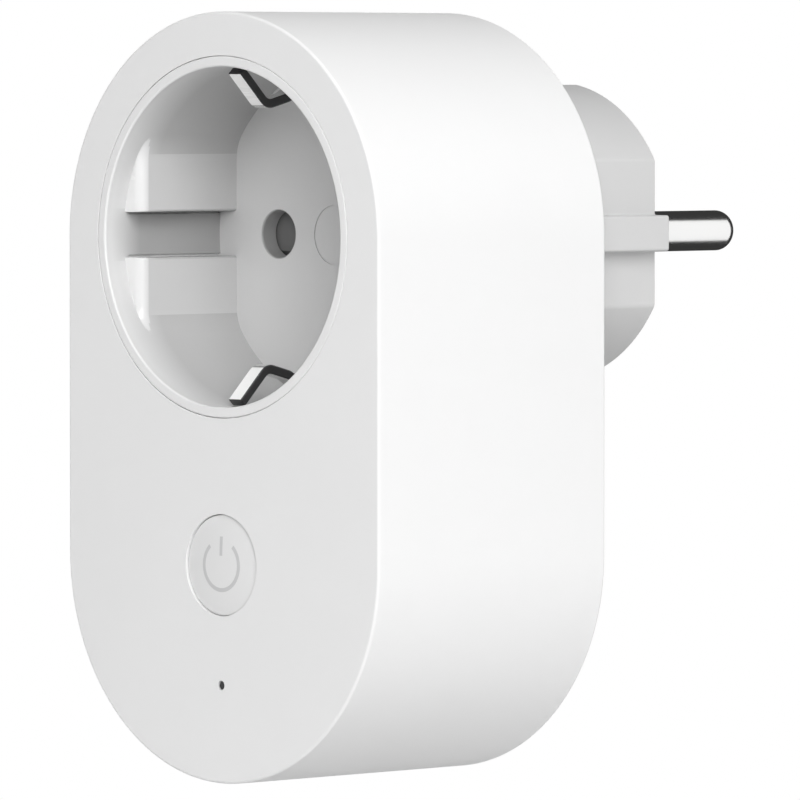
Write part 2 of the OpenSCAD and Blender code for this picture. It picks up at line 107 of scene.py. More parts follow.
CLIP_W = high("earth_clip_top").x - low("earth_clip_top").x
CLIP_T = 1.05
CLIP_BEND_R = 1.7
CLIP_ROOT_Y = -33.6
CLIP_ROOT_Z = 19.7

PIN_X = (low("plug_pin_right").x + high("plug_pin_right").x) / 2
PIN_R = 2.4
PIN_NECK_R = 2.2
PIN_TIP_R = 1.8
PIN_TIP_Y = high("plug_pin_right").y
PIN_COLLAR_R = high("plug_pin_right").x - PIN_X
PIN_COLLAR_T = 1.5

BUTTON_Z = (low("power_button").z + high("power_button").z) / 2
BUTTON_R = 5.8
DOME_R = 56.0

LIGHT_Z = (low("light_pipe").z + high("light_pipe").z) / 2
LIGHT_R = 0.5

PLATE_FRONT_Y = low("rear_cover").y
PLATE_R = high("rear_cover").x
SPIGOT_R = 15.5
BOSS_HALF_H = 17.7
BOSS_BORE_R = 14.0
BOSS_END_WALL = 3.0
BOSS_FLAT_X = 16.1
BOSS_FLAT_HALF_H = 8.6
BOSS_ARC_SHIFT = ((BOSS_FLAT_X ** 2 + BOSS_FLAT_HALF_H ** 2 - BOSS_HALF_H ** 2)
                  / (2 * (BOSS_HALF_H - BOSS_FLAT_HALF_H)))
BOSS_ARC_R = BOSS_HALF_H + BOSS_ARC_SHIFT
BOSS_RIB_X = high("plug_boss").x
BOSS_RIB_HALF = 2.1
BOSS_EDGE_R = 0.55
BOSS_CORNER_R = 0.3
CHANNEL_HALF = 3.0
CHANNEL_Z = 16.1
SLEEVE_Z = (low("earth_sleeve").z + high("earth_sleeve").z) / 2
SLEEVE_R = (high("earth_sleeve").z - low("earth_sleeve").z) / 2

SCREW_HEAD_R = 1.6
SCREW_HEAD_T = 1.3
SCREW_R = 1.0
UPPER_SCREW_REACH = 21.6 / math.sqrt(2)
LOWER_SCREW_X = high("rear_screws").x - SCREW_HEAD_R
LOWER_SCREW_Z = low("rear_screws").z + SCREW_HEAD_R
REAR_SCREWS = [(-UPPER_SCREW_REACH, UPPER_SCREW_REACH), (UPPER_SCREW_REACH, UPPER_SCREW_REACH),
               (-LOWER_SCREW_X, LOWER_SCREW_Z), (LOWER_SCREW_X, LOWER_SCREW_Z)]


# ---------------------------------------------------------------- mesh building

def new_object(name, verts, faces):
    """Object from vertices in millimetres and faces."""
    mesh = bpy.data.meshes.new(name)
    mesh.from_pydata([[c * MM for c in v] for v in verts], [], faces)
    obj = bpy.data.objects.new(name, mesh)
    bpy.context.scene.collection.objects.link(obj)
    return obj


def outward(obj):
    """Turns every face of a closed mesh outward and merges doubled vertices."""
    bm = bmesh.new()
    bm.from_mesh(obj.data)
    bmesh.ops.remove_doubles(bm, verts=bm.verts, dist=1e-7)
    bmesh.ops.recalc_face_normals(bm, faces=bm.faces)
    bm.to_mesh(obj.data)
    bm.free()
    return obj


def loft(name, rings, wrap=False):
    """Closed solid through rings of equal length: capped at both ends, or joined end to end."""
    n = len(rings[0])
    verts = [p for ring in rings for p in ring]
    faces = []
    spans = len(rings) if wrap else len(rings) - 1
    for k in range(spans):
        a, b = k * n, (k + 1) % len(rings) * n
        for i in range(n):
            j = (i + 1) % n
            faces.append([a + i, a + j, b + j, b + i])
    if not wrap:
        faces.append(list(range(n))[::-1])
        faces.append([(len(rings) - 1) * n + i for i in range(n)])
    return outward(new_object(name, verts, faces))


def circle(r, y, x=0.0, z=0.0, n=96):
    """Ring of points about an axis along Y."""
    return [(x + r * math.cos(2 * math.pi * i / n), y, z + r * math.sin(2 * math.pi * i / n))
            for i in range(n)]


def lathe(name, profile, x=0.0, z=0.0, n=96, wrap=False):
    """Solid turned about an axis along Y from (radius, y) points; radius 0 is given as a tiny ring."""
    return loft(name, [circle(max(r, AXIS_R), y, x, z, n) for r, y in profile], wrap)


def drill(r, y0, y1, x=0.0, z=0.0, n=64):
    """Plain round cutter along Y."""
    return lathe("cutter", [(0, y0), (r, y0), (r, y1), (0, y1)], x, z, n)


def flared_hole(r, lip, y_front, y_end, x=0.0, z=0.0, n=96):
    """Cutter for a round hole through a face at y_front, with a rounded lip."""
    steps, clearance = 5, 0.002
    profile = [(0, y_front - OVERSHOOT), (r + lip, y_front - OVERSHOOT), (r + lip, y_front - clearance)]
    profile += [(r + lip - lip * math.sin(t), y_front + lip - lip * math.cos(t))
                for t in [math.pi / 2 * i / steps for i in range(1, steps + 1)]]
    profile += [(r, y_end), (0, y_end)]
    return lathe("cutter", profile, x, z, n)


def arc(cx, cy, r, start, end, steps=8):
    """Points of an arc, angles in degrees."""
    turn = [math.radians(start + (end - start) * i / steps) for i in range(steps + 1)]
    return [(cx + r * math.cos(t), cy + r * math.sin(t)) for t in turn]


def stadium(r, y, n=72):
    """Ring round the upright stadium whose upper arc is centred on the socket axis."""
    top = [(x, y, z) for x, z in arc(0, 0, r, 0, 180, n)]
    bottom = [(x, y, z) for x, z in arc(0, -ARC_DROP, r, 180, 360, n)]
    return top + bottom


def block(name, a, b, bevel=0.0, segments=3):
    """Box between two corners, with every edge rounded."""
    (x0, y0, z0), (x1, y1, z1) = a, b
    front = [(x0, y0, z0), (x1, y0, z0), (x1, y0, z1), (x0, y0, z1)]
    back = [(x, y1, z) for x, _, z in front]
    obj = loft(name, [front, back])
    if bevel:
        round_edges(obj, bevel, segments)
    return obj


def round_edges(obj, width, segments=3, pick=None):
    """Rounds the edges that pick(edge) accepts, in millimetres; all of them without pick."""
    bm = bmesh.new()
    bm.from_mesh(obj.data)
    edges = [e for e in bm.edges if pick is None or pick(e)]
    bmesh.ops.bevel(bm, geom=edges, offset=width * MM, segments=segments, profile=0.5, affect="EDGES",
                    clamp_overlap=True)
    bm.to_mesh(obj.data)
    bm.free()
    return obj


def combine(obj, other, operation):
    """Boolean of obj with other, which is used up."""
    step = obj.modifiers.new("step", "BOOLEAN")
    step.object = other
    step.operation = operation
    step.solver = "EXACT"
    bpy.context.view_layer.update()
    result = bpy.data.meshes.new_from_object(obj.evaluated_get(bpy.context.evaluated_depsgraph_get()))
    obj.modifiers.clear()
    old, obj.data = obj.data, result
    bpy.data.meshes.remove(old)
    bpy.data.objects.remove(other)
    return obj


def cut(obj, *tools):
    """Takes each tool away from obj."""
    for tool in tools:
        combine(obj, tool, "DIFFERENCE")
    return obj


def add(obj, *parts):
    """Fuses each part with obj."""
    for part in parts:
        combine(obj, part, "UNION")
    return obj


def join(name, parts):
    """One object holding the closed shells of several."""
    bm = bmesh.new()
    for part in parts:
        bm.from_mesh(part.data)
        bpy.data.objects.remove(part)
    mesh = bpy.data.meshes.new(name)
    bm.to_mesh(mesh)
    bm.free()
    obj = bpy.data.objects.new(name, mesh)
    bpy.context.scene.collection.objects.link(obj)
    return obj


def finish_shape(obj, angle):
    """Smooth shading that keeps flat faces flat and creases sharp."""
    mesh = obj.data
    mesh.shade_smooth()
    mesh.set_sharp_from_angle(angle=math.radians(angle))
    normals = obj.modifiers.new("normals", "WEIGHTED_NORMAL")
    normals.keep_sharp = True
    normals.weight = 100
    return obj


def place(obj, body, material, slot, *nodes, angle=30.0):
    """Finishes a piece: shading, material, body and the CAD nodes that it stands for, which it hides; slot is
    not used.
    """
    finish_shape(obj, angle)
    if not obj.data.materials:
        obj.data.materials.append(material)
    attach(obj, body)
    if nodes:
        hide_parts(*nodes)
    return obj


# ---------------------------------------------------------------- materials

# Noise mostly stays between these values.
NOISE_LOW = 0.3
NOISE_HIGH = 0.7

# The fine streaks of a finish are this many times smaller than its patches.
STREAK_RATIO = 9
COAT_ROUGHNESS = 0.15


def new_material(name):
    """Empty material, with its nodes, its links and its shader."""
    mat = bpy.data.materials.new(name)
    mat.use_nodes = True
    nodes = mat.node_tree.nodes
    return mat, nodes, mat.node_tree.links, nodes["Principled BSDF"]


def noise(nodes, links, scale, detail=3.0, stretch=(1, 1, 1)):
    """Noise in the object's own space; scale is in features per metre."""
    coords = nodes.new("ShaderNodeTexCoord")
    mapping = nodes.new("ShaderNodeMapping")
    mapping.inputs["Scale"].default_value = stretch
    texture = nodes.new("ShaderNodeTexNoise")
    texture.inputs["Scale"].default_value = scale
    texture.inputs["Detail"].default_value = detail
    links.new(coords.outputs["Object"], mapping.inputs["Vector"])
    links.new(mapping.outputs["Vector"], texture.inputs["Vector"])
    return texture.outputs["Fac"]


def spread(nodes, links, source, low_value, high_value, start=NOISE_LOW, end=NOISE_HIGH):
    """Maps a value from start..end, a noise value's by default, to low_value..high_value."""
    node = nodes.new("ShaderNodeMapRange")
    node.inputs["From Min"].default_value = start
    node.inputs["From Max"].default_value = end
    node.inputs["To Min"].default_value = low_value
    node.inputs["To Max"].default_value = high_value
    links.new(source, node.inputs["Value"])
    return node.outputs["Result"]


def tone(nodes, links, source, dark, light):
    """Blends two colours by a noise value."""
    ramp = nodes.new("ShaderNodeValToRGB")
    ramp.color_ramp.elements[0].position = NOISE_LOW
    ramp.color_ramp.elements[1].position = NOISE_HIGH
    ramp.color_ramp.elements[0].color = (*dark, 1)
    ramp.color_ramp.elements[1].color = (*light, 1)
    links.new(source, ramp.inputs["Fac"])
    return ramp.outputs["Color"]


def bump(nodes, links, height, strength, depth, shader):
    """Relief from a height value; depth is in metres."""
    node = nodes.new("ShaderNodeBump")
    node.inputs["Strength"].default_value = strength
    node.inputs["Distance"].default_value = depth
    links.new(height, node.inputs["Height"])
    links.new(node.outputs["Normal"], shader.inputs["Normal"])


def surface(name, color, rough, metal=0.0, vary=0.03, rough_vary=0.05, patch=60.0, grain=3500.0,
            grain_strength=0.12, grain_depth=0.00002, stretch=(1, 1, 1), ior=1.46, coat=0.0):
    """Moulded or plated finish: slow colour and gloss variation with a fine grain in relief."""
    mat, nodes, links, shader = new_material(name)
    slow = noise(nodes, links, patch)
    dark = [c * (1 - vary) for c in color]
    light = [min(1.0, c * (1 + vary)) for c in color]
    links.new(tone(nodes, links, slow, dark, light), shader.inputs["Base Color"])
    streak = noise(nodes, links, patch * STREAK_RATIO, detail=4.0, stretch=stretch)
    gloss = spread(nodes, links, streak, rough - rough_vary, rough + rough_vary)
    links.new(gloss, shader.inputs["Roughness"])
    shader.inputs["Metallic"].default_value = metal
    shader.inputs["IOR"].default_value = ior
    shader.inputs["Coat Weight"].default_value = coat
    shader.inputs["Coat Roughness"].default_value = COAT_ROUGHNESS
    relief = noise(nodes, links, grain, detail=2.0, stretch=stretch)
    bump(nodes, links, relief, grain_strength, grain_depth, shader)
    return mat


def paint_shade_with_depth(mat, start, end, deep):
    """Paints shade into a material: scales its colour from 1 at plane y = start to deep at y = end, in
    millimetres.
    """
    nodes, links = mat.node_tree.nodes, mat.node_tree.links
    shader = nodes["Principled BSDF"]
    source = shader.inputs["Base Color"].links[0].from_socket
    split = nodes.new("ShaderNodeSeparateXYZ")
    links.new(nodes.new("ShaderNodeTexCoord").outputs["Object"], split.inputs["Vector"])
    level = spread(nodes, links, split.outputs["Y"], 1.0, deep, start * MM, end * MM)
    scale = nodes.new("ShaderNodeVectorMath")
    scale.operation = "SCALE"
    links.new(source, scale.inputs[0])
    links.new(level, scale.inputs["Scale"])
    links.new(scale.outputs["Vector"], shader.inputs["Base Color"])
    return mat


def grey(value):
    """Neutral colour of one level."""
    return (value, value, value)


# Painted shade: the recess's colour gets darker inward from the first plane to the second or third.
SHADE_START_Y = FRONT_Y + 1.0
GROOVE_SHADE_END_Y = FRONT_Y + 5.5
RECESS_SHADE_END_Y = FRONT_Y + 6.0

shell_white = surface("shell_white", grey(0.80), 0.5, vary=0.006, rough_vary=0.015)
insert_white = surface("insert_white", grey(0.79), 0.5, vary=0.006, rough_vary=0.015)
guide_white = surface("guide_white", grey(0.78), 0.26, vary=0.006, rough_vary=0.015, coat=0.3)
# Painted shade: the groove is the insert's white plastic, given a lower grey that darkens inward to stand for
# the shade in it.
groove_white_painted_shade = surface("groove_white_painted_shade", grey(0.76), 0.5, vary=0.008, rough_vary=0.015)
paint_shade_with_depth(groove_white_painted_shade, SHADE_START_Y, GROOVE_SHADE_END_Y, 0.52)
# Painted shade: the recess walls are the insert's white plastic, painted darker inward to stand for the shade
# deep in the recess.
recess_white_painted_shade = surface("recess_white_painted_shade", grey(0.76), 0.40, vary=0.008, rough_vary=0.015)
paint_shade_with_depth(recess_white_painted_shade, SHADE_START_Y, RECESS_SHADE_END_Y, 0.69)
# Painted shade: the pads are the insert's white plastic, painted a lower grey for the shade on them.
pad_white_painted_shade = surface("pad_white_painted_shade", grey(0.63), 0.40, vary=0.008, rough_vary=0.015)
# Painted shade: the recess floor is the insert's white plastic, painted a lower grey for the shade at the
# bottom of the recess.
floor_white_painted_shade = surface("floor_white_painted_shade", grey(0.69), 0.40, vary=0.008, rough_vary=0.015)
# Painted shade: the boss is the shell's white plastic, painted a lower grey for the shade that the body casts
# on it.
boss_white_painted_shade = surface("boss_white_painted_shade", grey(0.59), 0.40, vary=0.008, rough_vary=0.015)
button_white = surface("button_white", grey(0.76), 0.36, vary=0.006, rough_vary=0.015)
symbol_grey = surface("symbol_grey", (0.575, 0.575, 0.58), 0.45, vary=0.02)
smoked_light = surface("smoked_light", (0.06, 0.06, 0.062), 0.18, vary=0.05, coat=0.4)
nickel = surface("nickel", (0.86, 0.86, 0.855), 0.17, metal=1.0, vary=0.02, rough_vary=0.03,
                 grain=2600.0, grain_strength=0.05, stretch=(1, 0.08, 1))
# Painted highlight: the nickel clips' ramps are painted near-white to stand for the highlight that they
# catch.
clip_ramp_painted_highlight = surface("clip_ramp_painted_highlight", (0.98, 0.98, 0.975), 0.3, metal=0.0, coat=0.5, vary=0.02,
                     stretch=(0.1, 1, 1))
# Cut edges: darker unplated steel, painted darker still to stand for the shade of the recess wall that they
# reflect.
clip_cut_edge_and_shade = surface("clip_cut_edge_and_shade", (0.10, 0.10, 0.102), 0.4, metal=0.8, vary=0.2)
shutter_grey = surface("shutter_grey", grey(0.17), 0.5, vary=0.03)
carrier_grey = surface("carrier_grey", (0.06, 0.06, 0.062), 0.55, vary=0.05)
zinc_steel = surface("zinc_steel", (0.58, 0.58, 0.59), 0.32, metal=1.0, vary=0.04, stretch=(1, 0.2, 1))
spring_steel = surface("spring_steel", (0.62, 0.62, 0.63), 0.25, metal=1.0, vary=0.04)
contact_brass = surface("contact_brass", (0.72, 0.53, 0.22), 0.3, metal=1.0, vary=0.05,
                        stretch=(0.2, 1, 1))
board_green = surface("board_green", (0.02, 0.14, 0.055), 0.35, vary=0.12, patch=240.0, coat=0.3)
board_blue = surface("board_blue", (0.015, 0.045, 0.19), 0.35, vary=0.12, patch=240.0, coat=0.3)
part_black = surface("part_black", (0.025, 0.025, 0.026), 0.5, vary=0.1)
relay_blue = surface("relay_blue", (0.02, 0.11, 0.42), 0.28, vary=0.05)
disc_blue = surface("disc_blue", (0.03, 0.13, 0.45), 0.4, vary=0.08, coat=0.3)
capacitor_yellow = surface("capacitor_yellow", (0.72, 0.52, 0.05), 0.35, vary=0.04)
tape_yellow = surface("tape_yellow", (0.82, 0.64, 0.08), 0.3, vary=0.05, stretch=(1, 1, 0.2), coat=0.4)
ferrite = surface("ferrite", (0.08, 0.076, 0.075), 0.6, vary=0.15, patch=400.0, grain_strength=0.4)
fuse_brown = surface("fuse_brown", (0.2, 0.085, 0.035), 0.35, vary=0.08)
can_black = surface("can_black", (0.03, 0.032, 0.04), 0.3, vary=0.1, coat=0.3)
choke_green = surface("choke_green", (0.10, 0.17, 0.06), 0.3, vary=0.1, coat=0.4)
led_white = surface("led_white", (0.85, 0.83, 0.68), 0.2, vary=0.02, coat=0.5)


# ---------------------------------------------------------------- housing

def make_housing():
    """Hollow stadium-shaped casing with openings for the socket, the button and the light."""
    profile = [(r, y) for y, r in arc(FRONT_Y + EDGE_R, BODY_R - EDGE_R, EDGE_R, 180, 90, 6)]
    profile += [(r, y) for y, r in arc(BACK_Y - EDGE_R, BODY_R - EDGE_R, EDGE_R, 90, 0, 6)]
    housing = loft("housing", [stadium(r, y) for r, y in profile])
    hollow = loft("cutter", [stadium(INNER_R, WALL_BACK_Y), stadium(INNER_R, BACK_Y + OVERSHOOT)])
    hole_end_y = WALL_BACK_Y + OVERSHOOT
    cut(housing, hollow,
        flared_hole(CUP_R + SEAM, LIP, FRONT_Y, hole_end_y, n=144),
        flared_hole(BUTTON_R + SEAM, LIP, FRONT_Y, hole_end_y, z=BUTTON_Z),
        flared_hole(LIGHT_R + SEAM, LIP / 2, FRONT_Y, hole_end_y, z=LIGHT_Z, n=32))
    place(housing, "chassis", shell_white, "shell_white", "outer_housing")


# ---------------------------------------------------------------- socket

def guide_outline(inset, side_x, side_z, y):
    """Ring round one side guide whose flat stands back by inset and blends into the round wall."""
    face_x, outer = GUIDE_X + inset, RECESS_R + GUIDE_ROOT
    blend_x = face_x - GUIDE_BLEND_R
    blend_z = math.sqrt((RECESS_R - GUIDE_BLEND_R) ** 2 - blend_x ** 2)
    blend_end = math.degrees(math.atan2(blend_z, blend_x))
    outline = arc(face_x + GUIDE_SIDE_R, GROOVE_HALF + GUIDE_SIDE_R, GUIDE_SIDE_R, 270, 180, 4)
    outline += arc(blend_x, blend_z, GUIDE_BLEND_R, 0, blend_end, 10)
    outline += arc(0, 0, outer, blend_end, math.degrees(math.asin(GROOVE_HALF / outer)), 14)
    return [(x * side_x, y, z * side_z) for x, z in outline]


def guide(side_x, side_z):
    """One side guide of the recess, with a rounded front edge that runs out into the wall."""
    start = FRONT_Y + GUIDE_DEPTH
    steps = 8
    turns = [math.radians(90 * i / steps) for i in range(steps + 1)]
    rings = [guide_outline(GUIDE_EDGE_R * (1 - math.sin(t)), side_x, side_z,
                           start + GUIDE_EDGE_R * (1 - math.cos(t))) for t in turns]
    rings.append(guide_outline(0, side_x, side_z, FLOOR_Y + GUIDE_ROOT))
    return loft("guide", rings)


# Order of the socket's materials.
PLAIN, RECESS, GUIDE, GROOVE, FLOOR, PAD = range(6)


def socket_material_and_shade(face):
    """Which of the socket's materials a face has: PLAIN outside the recess; RECESS, GROOVE, FLOOR and PAD
    inside it carry painted shade.
    """
    centre = face.center / MM
    depth, reach = centre.y - FRONT_Y, math.hypot(centre.x, centre.z)
    facing_front = -face.normal.y
    if reach >= RECESS_R + 0.3 or depth <= MOUTH_R or centre.y >= FLOOR_BACK_Y - 0.1:
        return PLAIN
    if GUIDE_DEPTH - 0.1 < depth < GUIDE_DEPTH + GUIDE_EDGE_R and facing_front > 0.05:
        return GUIDE
    if centre.y > FLOOR_Y - 0.05 and facing_front > 0.9:
        return FLOOR
    if abs(face.normal.x) > 0.99 and abs(abs(centre.x) - GUIDE_X) < 0.1:
        return PAD
    in_groove = abs(centre.z) < GROOVE_HALF + 0.01 and abs(centre.x) > GUIDE_X and depth > GUIDE_DEPTH
    below_floor = centre.y > FLOOR_Y + 0.05
    return GROOVE if in_groove or below_floor else RECESS


def make_socket():
    """Round recess with its rim, flange, guides, pin holes, clip slots and engraved circle."""
    inner = [(0.0, FLOOR_Y), (RECESS_R, FLOOR_Y)]
    inner += arc(RECESS_R + MOUTH_R, FRONT_Y + MOUTH_R, MOUTH_R, 180, 270, 10)
    rim = arc(CUP_R - RIM_EDGE_R, FRONT_Y + RIM_EDGE_R, RIM_EDGE_R, -90, 0, 5)
    flange_y = WALL_BACK_Y + TOUCH_GAP
    outer = [(CUP_R, flange_y), (FLANGE_R, flange_y), (FLANGE_R, flange_y + FLANGE_T),
             (CUP_R, flange_y + FLANGE_T), (CUP_R, FLOOR_BACK_Y), (0, FLOOR_BACK_Y)]
    socket = lathe("socket", inner + rim + outer, n=160)
    add(socket, *[guide(x, z) for x in (-1, 1) for z in (-1, 1)])
    slot_half_w, slot_half_h, slot_y = 1.5, 2.4, FRONT_Y + 1.2
    line_w, line_deep, line_inner, line_end_gap = 0.3, 0.25, 0.6, 0.01
    line_y = FRONT_Y + GUIDE_DEPTH + GUIDE_EDGE_R / 2
    mark_y0, mark_y1 = FLOOR_Y - OVERSHOOT, FLOOR_Y + MARK_DEPTH
    mark = [(MARK_R, mark_y0), (MARK_R - MARK_W, mark_y0), (MARK_R - MARK_W, mark_y1), (MARK_R, mark_y1)]
    hole_end_y = FLOOR_BACK_Y + OVERSHOOT
    cut(socket,
        *[flared_hole(PIN_HOLE_R, PIN_HOLE_LIP, FLOOR_Y, hole_end_y, x=x) for x in (-PIN_X, PIN_X)],
        *[block("cutter", (-slot_half_w, slot_y, z - slot_half_h), (slot_half_w, hole_end_y, z + slot_half_h))
          for z in (-CUP_R, CUP_R)],
        lathe("cutter", mark, n=96, wrap=True))
    for side_x in (-1, 1):
        for side_z in (-1, 1):
            z0, z1 = sorted((side_z * GROOVE_HALF, side_z * (GROOVE_HALF - line_w)))
            x0, x1 = sorted((side_x * (RECESS_R - line_inner), side_x * (RECESS_R + line_deep)))
            cut(socket, block("cutter", (x0, line_y, z0), (x1, FLOOR_Y - line_end_gap, z1)))
    # The recess, groove, floor and pad greys are painted shade.
    for material in (insert_white, recess_white_painted_shade, guide_white, groove_white_painted_shade, floor_white_painted_shade, pad_white_painted_shade):
        socket.data.materials.append(material)
    for face in socket.data.polygons:
        face.material_index = socket_material_and_shade(face)
    place(socket, "chassis", insert_white, "insert_white", "socket_insert", angle=28.0)


def bent_line(points, radius, steps=8):
    """Points along a polyline whose inner corners are rounded to a radius."""
    longest_share = 0.45
    line = [Vector(points[0])]
    for before, corner, after in zip(points, points[1:], points[2:]):
        before, corner, after = Vector(before), Vector(corner), Vector(after)
        u, v = (before - corner).normalized(), (after - corner).normalized()
        half = u.angle(v) / 2
        shortest_leg = min((before - corner).length, (after - corner).length)
        reach = min(radius / math.tan(half), longest_share * shortest_leg)
        start, end = corner + u * reach, corner + v * reach
        for i in range(steps + 1):
            t = i / steps
            line.append(start * (1 - t) ** 2 + corner * 2 * t * (1 - t) + end * t ** 2)
    line.append(Vector(points[-1]))
    return line


def strip(name, line, width, thickness, place_point):
    """Bent flat strip with chamfered edges.

    line holds (along, across) points, and place_point maps (side, along, across) to space.
    """
    rings = []
    bevel = 0.12
    chamfer = thickness * bevel
    w, t = width / 2, 1 - 2 * bevel
    for i, p in enumerate(line):
        a, b = line[max(i - 1, 0)], line[min(i + 1, len(line) - 1)]
        along = (b - a).normalized()
        normal = Vector((-along.y, along.x)) * thickness / 2
        section = [(-w, t), (-w + chamfer, 1), (w - chamfer, 1), (w, t),
                   (w, -t), (w - chamfer, -1), (-w + chamfer, -1), (-w, -t)]
        rings.append([place_point(s, *(p + normal * n)) for s, n in section])
    return loft(name, rings)


def make_clip(name, side, body, node):
    """Bent earth clip of the recess; side is 1 above and -1 below."""
    # (depth, height) points: free end, first bend, crest, second bend, root
    points = [(2.6, 19.0), (6.5, 15.1), (10.0, 16.0), (16.5, CLIP_ROOT_Z),
              (CLIP_ROOT_Y - FRONT_Y, CLIP_ROOT_Z)]
    line = bent_line(points, CLIP_BEND_R)
    clip = strip(name, line, CLIP_W, CLIP_T, lambda s, along, across: (s, FRONT_Y + along, side * across))
    clip.data.materials.append(clip_ramp_painted_highlight)
    clip.data.materials.append(clip_cut_edge_and_shade)
    clip.data.materials.append(nickel)
    # Ramp faces get the painted highlight, cut edges the dark steel with painted shade, the rest nickel.
    for face in clip.data.polygons:
        sheared_and_shaded = abs(face.normal.x) > 0.5 or len(face.vertices) > 4
        ramp = face.center.y / MM < FRONT_Y + line[1].x
        face.material_index = 1 if sheared_and_shaded else 0 if ramp else 2
    place(clip, body, clip_ramp_painted_highlight, "nickel", node)


# ---------------------------------------------------------------- button and light

def dome_y(r):
    """Depth plane of the button's crowned face at a radius."""
    return FRONT_Y + DOME_R - math.sqrt(DOME_R ** 2 - r ** 2)


def make_button():
    """Crowned cap with the flange that keeps it in the casing and a stem that meets the switch."""
    edge, steps = 0.2, 12
    radii = [(BUTTON_R - edge) * i / steps for i in range(steps + 1)]
    face = [(r, dome_y(r)) for r in radii]
    rim_y = dome_y(BUTTON_R - edge) + edge
    rim = arc(BUTTON_R - edge, rim_y, edge, -90, 0, 5)[1:]
    flange_r = high("power_button").x
    flange_y = WALL_BACK_Y + TOUCH_GAP
    flange_t, stem_r, stem_y = 0.85, 2.0, high("power_button").y
    back = [(BUTTON_R, flange_y), (flange_r, flange_y), (flange_r, flange_y + flange_t),
            (stem_r, flange_y + flange_t), (stem_r, stem_y), (0, stem_y)]
    button = lathe("button", face + rim + back, z=BUTTON_Z)
    place(button, "button_cap", button_white, "shell_white", "power_button")


def make_symbol():
    """Open ring and short line that follow the button's crown."""
    radius, width, proud, deep, gap_half_w = 2.85, 0.46, 0.012, 0.15, 1.85
    gap = math.degrees(math.asin(gap_half_w / radius))
    line_start, line_end = 1.1, 3.3
    steps, line_steps = 48, 8

    def ring(points):
        """Points in space from (x, z, depth under the crown), with z from the button's centre."""
        return [(x, dome_y(math.hypot(x, z)) + d, BUTTON_Z + z) for x, z, d in points]

    rings = []
    for i in range(steps + 1):
        t = math.radians(90 + gap + (360 - 2 * gap) * i / steps)
        inner, outer = radius - width / 2, radius + width / 2
        rings.append(ring([(inner * math.cos(t), inner * math.sin(t), -proud),
                           (outer * math.cos(t), outer * math.sin(t), -proud),
                           (outer * math.cos(t), outer * math.sin(t), deep),
                           (inner * math.cos(t), inner * math.sin(t), deep)]))
    parts = [loft("arc", rings)]
    rings = []
    half_w = width / 2
    for i in range(line_steps + 1):
        z = line_start + (line_end - line_start) * i / line_steps
        rings.append(ring([(-half_w, z, -proud), (half_w, z, -proud), (half_w, z, deep), (-half_w, z, deep)]))
    parts.append(loft("line", rings))
    place(join("symbol", parts), "button_cap", symbol_grey, "symbol_grey", "power_symbol")


def make_light():
    """Light guide, with a low crown set back a little from the casing's face."""
    crown = ((0.0, 0.12), (0.3, 0.13), (0.42, 0.17), (LIGHT_R, 0.28))
    face = [(r, FRONT_Y + depth) for r, depth in crown]
    flange = high("light_pipe").x
    flange_y, flange_t = WALL_BACK_Y + TOUCH_GAP, 0.75
    end_y = high("light_pipe").y
    back = [(LIGHT_R, flange_y), (flange, flange_y), (flange, flange_y + flange_t),
            (LIGHT_R, flange_y + flange_t), (LIGHT_R, end_y), (0, end_y)]
    guide_rod = lathe("light_guide", face + back, z=LIGHT_Z, n=32)
    place(guide_rod, "chassis", smoked_light, "smoked_light", "light_pipe")


# ---------------------------------------------------------------- back: cover, boss, pins, strips

def boss_ring(y):
    """Outline of the boss: ribbed flats at the sides, a channel above and below."""
    first = math.degrees(math.acos(BOSS_FLAT_X / BOSS_ARC_R))
    last = math.degrees(math.acos(CHANNEL_HALF / BOSS_ARC_R))
    quadrant = [(BOSS_RIB_X, BOSS_RIB_HALF), (BOSS_FLAT_X, BOSS_RIB_HALF)]
    quadrant += arc(0, -BOSS_ARC_SHIFT, BOSS_ARC_R, first, last, 20) + [(CHANNEL_HALF, CHANNEL_Z)]
    upper = quadrant + [(-x, z) for x, z in quadrant[::-1]]
    return [(x, y, z) for x, z in upper + [(x, -z) for x, z in upper[::-1]]]


def make_boss():
    """Hollow boss with rounded edges, a spigot in the rear plate and holes for the pins and sleeve."""
    long_edge_m, sharp_bend, at_zero_m, overlap = 0.01, 0.3, 1e-6, 0.1
    boss = loft("boss", [boss_ring(BACK_Y), boss_ring(0)])

    def along_y(edge):
        """Whether an edge runs the boss's length."""
        return abs(edge.verts[0].co.y - edge.verts[1].co.y) > long_edge_m

    def corner(edge):
        """Whether a lengthwise edge is a corner of the outline."""
        return along_y(edge) and edge.calc_face_angle(0) > sharp_bend

    def end_edge(edge):
        """Whether an edge lies in the boss's end face."""
        return all(abs(v.co.y) < at_zero_m for v in edge.verts)

    round_edges(boss, BOSS_CORNER_R, 4, corner)
    round_edges(boss, BOSS_EDGE_R, 6, end_edge)
    add(outward(boss), drill(SPIGOT_R, PLATE_FRONT_Y, BACK_Y + overlap, n=96))
    wall_y0, wall_y1 = -BOSS_END_WALL - OVERSHOOT, OVERSHOOT
    cut(boss, drill(BOSS_BORE_R, PLATE_FRONT_Y - OVERSHOOT, -BOSS_END_WALL, n=96),
        *[drill(PIN_NECK_R + SEAM, wall_y0, wall_y1, x=x) for x in (-PIN_X, PIN_X)],
        drill(SLEEVE_R + SEAM, wall_y0, wall_y1, z=SLEEVE_Z))
    # The boss's lower grey is painted shade.
    place(boss, "chassis", boss_white_painted_shade, "shell_white", "plug_boss")


